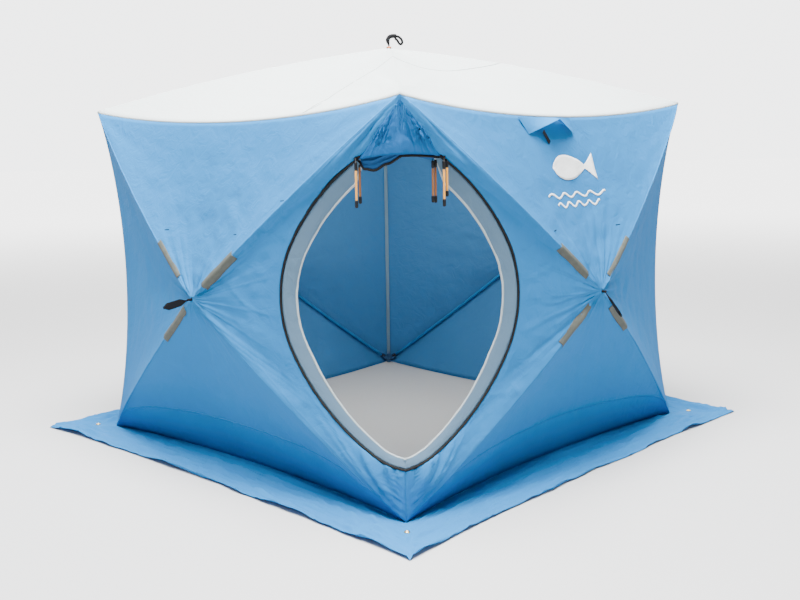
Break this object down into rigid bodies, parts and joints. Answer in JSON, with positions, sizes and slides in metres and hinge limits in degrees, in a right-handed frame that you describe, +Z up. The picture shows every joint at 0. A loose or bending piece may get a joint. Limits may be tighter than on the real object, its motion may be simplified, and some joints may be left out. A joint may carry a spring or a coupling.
{
  "type": "ice fishing shelter",
  "caption": "Pop-up hub-style ice fishing tent: four tensioned fabric walls and a low pyramid roof pulled out by pole hubs, oval corner doorway, snow skirt on the ground.",
  "frame": {"origin": "centre of the footprint on the ground", "axes": "+Z up; -Y towards the corner that holds the doorway, +X to the right of someone who looks in through it"},
  "size_m": [3.5, 3.5, 1.932],
  "materials": {
    "blue_fabric": "woven coated polyester, sky blue",
    "roof_fabric": "pale grey-white coated polyester",
    "pale_fabric": "thin whitish translucent storm flap",
    "black_webbing": "black polyester webbing and zip tape",
    "black_plastic": "moulded black nylon",
    "glass_fibre": "pultruded glass-fibre rod, dark grey",
    "orange_cord": "orange-yellow cord tube with black ends"
  },
  "bodies": {
    "root": {"corner_joint_back": "black_plastic", "corner_joint_front": "black_plastic", "corner_joint_left": "black_plastic", "corner_joint_right": "black_plastic", "door_roll": "blue_fabric", "door_tie_left": "black_webbing", "door_tie_right": "black_webbing", "door_zip": "black_webbing", "foot_back": "black_plastic", "foot_front": "black_plastic", "foot_left": "black_plastic", "foot_right": "black_plastic", "roof_fabric": "roof_fabric", "snow_skirt": "blue_fabric", "storm_flap": "pale_fabric", "vent_hood": "blue_fabric", "wall_back_left": "blue_fabric", "wall_back_right": "blue_fabric", "wall_front_left": "blue_fabric", "wall_front_right": "blue_fabric"},
    "hub_front_left": {"hub_front_left": "black_plastic", "hub_skin_front_left": "blue_fabric"},
    "pole_front_left_upper_left": {"pole_front_left_upper_left": "glass_fibre"},
    "pole_front_left_upper_front": {"pole_front_left_upper_front": "glass_fibre"},
    "pole_front_left_lower_left": {"pole_front_left_lower_left": "glass_fibre"},
    "pole_front_left_lower_front": {"pole_front_left_lower_front": "glass_fibre"},
    "strap_front_left": {"strap_front_left": "black_webbing"},
    "hub_front_right": {"hub_front_right": "black_plastic", "hub_skin_front_right": "blue_fabric"},
    "pole_front_right_upper_front": {"pole_front_right_upper_front": "glass_fibre"},
    "pole_front_right_upper_right": {"pole_front_right_upper_right": "glass_fibre"},
    "pole_front_right_lower_front": {"pole_front_right_lower_front": "glass_fibre"},
    "pole_front_right_lower_right": {"pole_front_right_lower_right": "glass_fibre"},
    "strap_front_right": {"strap_front_right": "black_webbing"},
    "hub_back_right": {"hub_back_right": "black_plastic", "hub_skin_back_right": "blue_fabric"},
    "pole_back_right_upper_right": {"pole_back_right_upper_right": "glass_fibre"},
    "pole_back_right_upper_back": {"pole_back_right_upper_back": "glass_fibre"},
    "pole_back_right_lower_right": {"pole_back_right_lower_right": "glass_fibre"},
    "pole_back_right_lower_back": {"pole_back_right_lower_back": "glass_fibre"},
    "strap_back_right": {"strap_back_right": "black_webbing"},
    "hub_back_left": {"hub_back_left": "black_plastic", "hub_skin_back_left": "blue_fabric"},
    "pole_back_left_upper_back": {"pole_back_left_upper_back": "glass_fibre"},
    "pole_back_left_upper_left": {"pole_back_left_upper_left": "glass_fibre"},
    "pole_back_left_lower_back": {"pole_back_left_lower_back": "glass_fibre"},
    "pole_back_left_lower_left": {"pole_back_left_lower_left": "glass_fibre"},
    "strap_back_left": {"strap_back_left": "black_webbing"},
    "hub_roof": {"hub_roof": "black_plastic", "hub_skin_roof": "roof_fabric"},
    "pole_roof_right": {"pole_roof_right": "glass_fibre"},
    "pole_roof_back": {"pole_roof_back": "glass_fibre"},
    "pole_roof_left": {"pole_roof_left": "glass_fibre"},
    "pole_roof_front": {"pole_roof_front": "glass_fibre"},
    "strap_roof": {"strap_roof": "black_webbing"},
    "zip_slider_left": {"zip_slider_left": "black_plastic"},
    "zip_pull_left": {"zip_pull_left": "orange_cord"},
    "zip_slider_right": {"zip_slider_right": "black_plastic"},
    "zip_pull_right": {"zip_pull_right": "orange_cord"},
    "vent_stay": {"vent_stay": "black_webbing"}
  },
  "joints": [
    {"name": "push_hub_front_left", "type": "slide", "parent": "root", "child": "hub_front_left", "axis": [0.7071, 0.7071, 0], "range_m": [0, 0.39], "deforming": ["hub_skin_front_left"]},
    {"name": "swing_pole_front_left_upper_left", "type": "hinge", "parent": "root", "child": "pole_front_left_upper_left", "pos_m": [-1.35764, -0.03535, 1.51], "axis": [0.4377, -0.4377, 0.7854], "range_deg": [0, 18.7]},
    {"name": "swing_pole_front_left_upper_front", "type": "hinge", "parent": "root", "child": "pole_front_left_upper_front", "pos_m": [-0.03535, -1.35764, 1.51], "axis": [0.4377, -0.4377, -0.7854], "range_deg": [0, 18.7]},
    {"name": "swing_pole_front_left_lower_left", "type": "hinge", "parent": "root", "child": "pole_front_left_lower_left", "pos_m": [-1.35764, -0.03535, 0.045], "axis": [-0.4344, 0.4344, 0.789], "range_deg": [0, 18.79]},
    {"name": "swing_pole_front_left_lower_front", "type": "hinge", "parent": "root", "child": "pole_front_left_lower_front", "pos_m": [-0.03535, -1.35764, 0.045], "axis": [-0.4344, 0.4344, -0.789], "range_deg": [0, 18.79]},
    {"name": "swing_strap_front_left", "type": "hinge", "parent": "hub_front_left", "child": "strap_front_left", "pos_m": [-0.86126, -0.86126, 0.773], "axis": [0.7071, -0.7071, 0], "range_deg": [-70, 78]},
    {"name": "push_hub_front_right", "type": "slide", "parent": "root", "child": "hub_front_right", "axis": [-0.7071, 0.7071, 0], "range_m": [0, 0.39], "deforming": ["hub_skin_front_right"]},
    {"name": "swing_pole_front_right_upper_front", "type": "hinge", "parent": "root", "child": "pole_front_right_upper_front", "pos_m": [0.03535, -1.35764, 1.51], "axis": [0.4377, 0.4377, 0.7854], "range_deg": [0, 18.7]},
    {"name": "swing_pole_front_right_upper_right", "type": "hinge", "parent": "root", "child": "pole_front_right_upper_right", "pos_m": [1.35764, -0.03535, 1.51], "axis": [0.4377, 0.4377, -0.7854], "range_deg": [0, 18.7]},
    {"name": "swing_pole_front_right_lower_front", "type": "hinge", "parent": "root", "child": "pole_front_right_lower_front", "pos_m": [0.03535, -1.35764, 0.045], "axis": [-0.4344, -0.4344, 0.789], "range_deg": [0, 18.79]},
    {"name": "swing_pole_front_right_lower_right", "type": "hinge", "parent": "root", "child": "pole_front_right_lower_right", "pos_m": [1.35764, -0.03535, 0.045], "axis": [-0.4344, -0.4344, -0.789], "range_deg": [0, 18.79]},
    {"name": "swing_strap_front_right", "type": "hinge", "parent": "hub_front_right", "child": "strap_front_right", "pos_m": [0.86126, -0.86126, 0.773], "axis": [0.7071, 0.7071, 0], "range_deg": [-60, 38]},
    {"name": "push_hub_back_right", "type": "slide", "parent": "root", "child": "hub_back_right", "axis": [-0.7071, -0.7071, 0], "range_m": [0, 0.39], "deforming": ["hub_skin_back_right"]},
    {"name": "swing_pole_back_right_upper_right", "type": "hinge", "parent": "root", "child": "pole_back_right_upper_right", "pos_m": [1.35764, 0.03535, 1.51], "axis": [-0.4377, 0.4377, 0.7854], "range_deg": [0, 18.7]},
    {"name": "swing_pole_back_right_upper_back", "type": "hinge", "parent": "root", "child": "pole_back_right_upper_back", "pos_m": [0.03535, 1.35764, 1.51], "axis": [-0.4377, 0.4377, -0.7854], "range_deg": [0, 18.7]},
    {"name": "swing_pole_back_right_lower_right", "type": "hinge", "parent": "root", "child": "pole_back_right_lower_right", "pos_m": [1.35764, 0.03535, 0.045], "axis": [0.4344, -0.4344, 0.789], "range_deg": [0, 18.79]},
    {"name": "swing_pole_back_right_lower_back", "type": "hinge", "parent": "root", "child": "pole_back_right_lower_back", "pos_m": [0.03535, 1.35764, 0.045], "axis": [0.4344, -0.4344, -0.789], "range_deg": [0, 18.79]},
    {"name": "swing_strap_back_right", "type": "hinge", "parent": "hub_back_right", "child": "strap_back_right", "pos_m": [0.86126, 0.86126, 0.773], "axis": [-0.7071, 0.7071, 0], "range_deg": [-100, 0]},
    {"name": "push_hub_back_left", "type": "slide", "parent": "root", "child": "hub_back_left", "axis": [0.7071, -0.7071, 0], "range_m": [0, 0.39], "deforming": ["hub_skin_back_left"]},
    {"name": "swing_pole_back_left_upper_back", "type": "hinge", "parent": "root", "child": "pole_back_left_upper_back", "pos_m": [-0.03535, 1.35764, 1.51], "axis": [-0.4377, -0.4377, 0.7854], "range_deg": [0, 18.7]},
    {"name": "swing_pole_back_left_upper_left", "type": "hinge", "parent": "root", "child": "pole_back_left_upper_left", "pos_m": [-1.35764, 0.03535, 1.51], "axis": [-0.4377, -0.4377, -0.7854], "range_deg": [0, 18.7]},
    {"name": "swing_pole_back_left_lower_back", "type": "hinge", "parent": "root", "child": "pole_back_left_lower_back", "pos_m": [-0.03535, 1.35764, 0.045], "axis": [0.4344, 0.4344, 0.789], "range_deg": [0, 18.79]},
    {"name": "swing_pole_back_left_lower_left", "type": "hinge", "parent": "root", "child": "pole_back_left_lower_left", "pos_m": [-1.35764, 0.03535, 0.045], "axis": [0.4344, 0.4344, -0.789], "range_deg": [0, 18.79]},
    {"name": "swing_strap_back_left", "type": "hinge", "parent": "hub_back_left", "child": "strap_back_left", "pos_m": [-0.86126, 0.86126, 0.773], "axis": [-0.7071, -0.7071, 0], "range_deg": [-100, 0]},
    {"name": "push_hub_roof", "type": "slide", "parent": "root", "child": "hub_roof", "axis": [0, 0, -1], "range_m": [0, 0.552], "deforming": ["hub_skin_roof"]},
    {"name": "swing_pole_roof_right", "type": "hinge", "parent": "root", "child": "pole_roof_right", "pos_m": [1.345, 0, 1.548], "axis": [0, -1, 0], "range_deg": [0, 23.29]},
    {"name": "swing_pole_roof_back", "type": "hinge", "parent": "root", "child": "pole_roof_back", "pos_m": [0, 1.345, 1.548], "axis": [1, 0, 0], "range_deg": [0, 23.29]},
    {"name": "swing_pole_roof_left", "type": "hinge", "parent": "root", "child": "pole_roof_left", "pos_m": [-1.345, 0, 1.548], "axis": [0, 1, 0], "range_deg": [0, 23.29]},
    {"name": "swing_pole_roof_front", "type": "hinge", "parent": "root", "child": "pole_roof_front", "pos_m": [0, -1.345, 1.548], "axis": [-1, 0, 0], "range_deg": [0, 23.29]},
    {"name": "swing_strap_roof", "type": "hinge", "parent": "hub_roof", "child": "strap_roof", "pos_m": [0, 0, 1.862], "axis": [0, 1, 0], "range_deg": [-85, 85]},
    {"name": "travel_zip_slider_left", "type": "hinge", "parent": "root", "child": "zip_slider_left", "pos_m": [0.23668, -1.57004, 0.575], "axis": [-0.5499, -0.8352, 0], "range_deg": [0, 28]},
    {"name": "swing_zip_pull_left", "type": "hinge", "parent": "zip_slider_left", "child": "zip_pull_left", "pos_m": [-0.15873, -1.32767, 1.34645], "axis": [-0.8352, 0.5499, 0], "range_deg": [0, 110]},
    {"name": "travel_zip_slider_right", "type": "hinge", "parent": "root", "child": "zip_slider_right", "pos_m": [-0.23668, -1.57004, 0.575], "axis": [-0.5499, 0.8352, 0], "range_deg": [0, 28]},
    {"name": "swing_zip_pull_right", "type": "hinge", "parent": "zip_slider_right", "child": "zip_pull_right", "pos_m": [0.15873, -1.32767, 1.34645], "axis": [-0.8352, -0.5499, 0], "range_deg": [0, 110]},
    {"name": "fold_vent_stay", "type": "hinge", "parent": "root", "child": "vent_stay", "pos_m": [0.63287, -0.80964, 1.392], "axis": [-0.4355, -0.4355, -0.7878], "range_deg": [0, 16], "deforming": ["vent_hood"]}
  ],
  "couplings": [
    {"joint": "swing_pole_front_left_upper_left", "follows": "push_hub_front_left", "rad_per_m": 0.83256},
    {"joint": "swing_pole_front_left_upper_front", "follows": "push_hub_front_left", "rad_per_m": 0.83256},
    {"joint": "swing_pole_front_left_lower_left", "follows": "push_hub_front_left", "rad_per_m": 0.83639},
    {"joint": "swing_pole_front_left_lower_front", "follows": "push_hub_front_left", "rad_per_m": 0.83639},
    {"joint": "swing_pole_front_right_upper_front", "follows": "push_hub_front_right", "rad_per_m": 0.83256},
    {"joint": "swing_pole_front_right_upper_right", "follows": "push_hub_front_right", "rad_per_m": 0.83256},
    {"joint": "swing_pole_front_right_lower_front", "follows": "push_hub_front_right", "rad_per_m": 0.83639},
    {"joint": "swing_pole_front_right_lower_right", "follows": "push_hub_front_right", "rad_per_m": 0.83639},
    {"joint": "swing_pole_back_right_upper_right", "follows": "push_hub_back_right", "rad_per_m": 0.83256},
    {"joint": "swing_pole_back_right_upper_back", "follows": "push_hub_back_right", "rad_per_m": 0.83256},
    {"joint": "swing_pole_back_right_lower_right", "follows": "push_hub_back_right", "rad_per_m": 0.83639},
    {"joint": "swing_pole_back_right_lower_back", "follows": "push_hub_back_right", "rad_per_m": 0.83639},
    {"joint": "swing_pole_back_left_upper_back", "follows": "push_hub_back_left", "rad_per_m": 0.83256},
    {"joint": "swing_pole_back_left_upper_left", "follows": "push_hub_back_left", "rad_per_m": 0.83256},
    {"joint": "swing_pole_back_left_lower_back", "follows": "push_hub_back_left", "rad_per_m": 0.83639},
    {"joint": "swing_pole_back_left_lower_left", "follows": "push_hub_back_left", "rad_per_m": 0.83639},
    {"joint": "swing_pole_roof_right", "follows": "push_hub_roof", "rad_per_m": 0.73332},
    {"joint": "swing_pole_roof_back", "follows": "push_hub_roof", "rad_per_m": 0.73332},
    {"joint": "swing_pole_roof_left", "follows": "push_hub_roof", "rad_per_m": 0.73332},
    {"joint": "swing_pole_roof_front", "follows": "push_hub_roof", "rad_per_m": 0.73332}
  ]
}
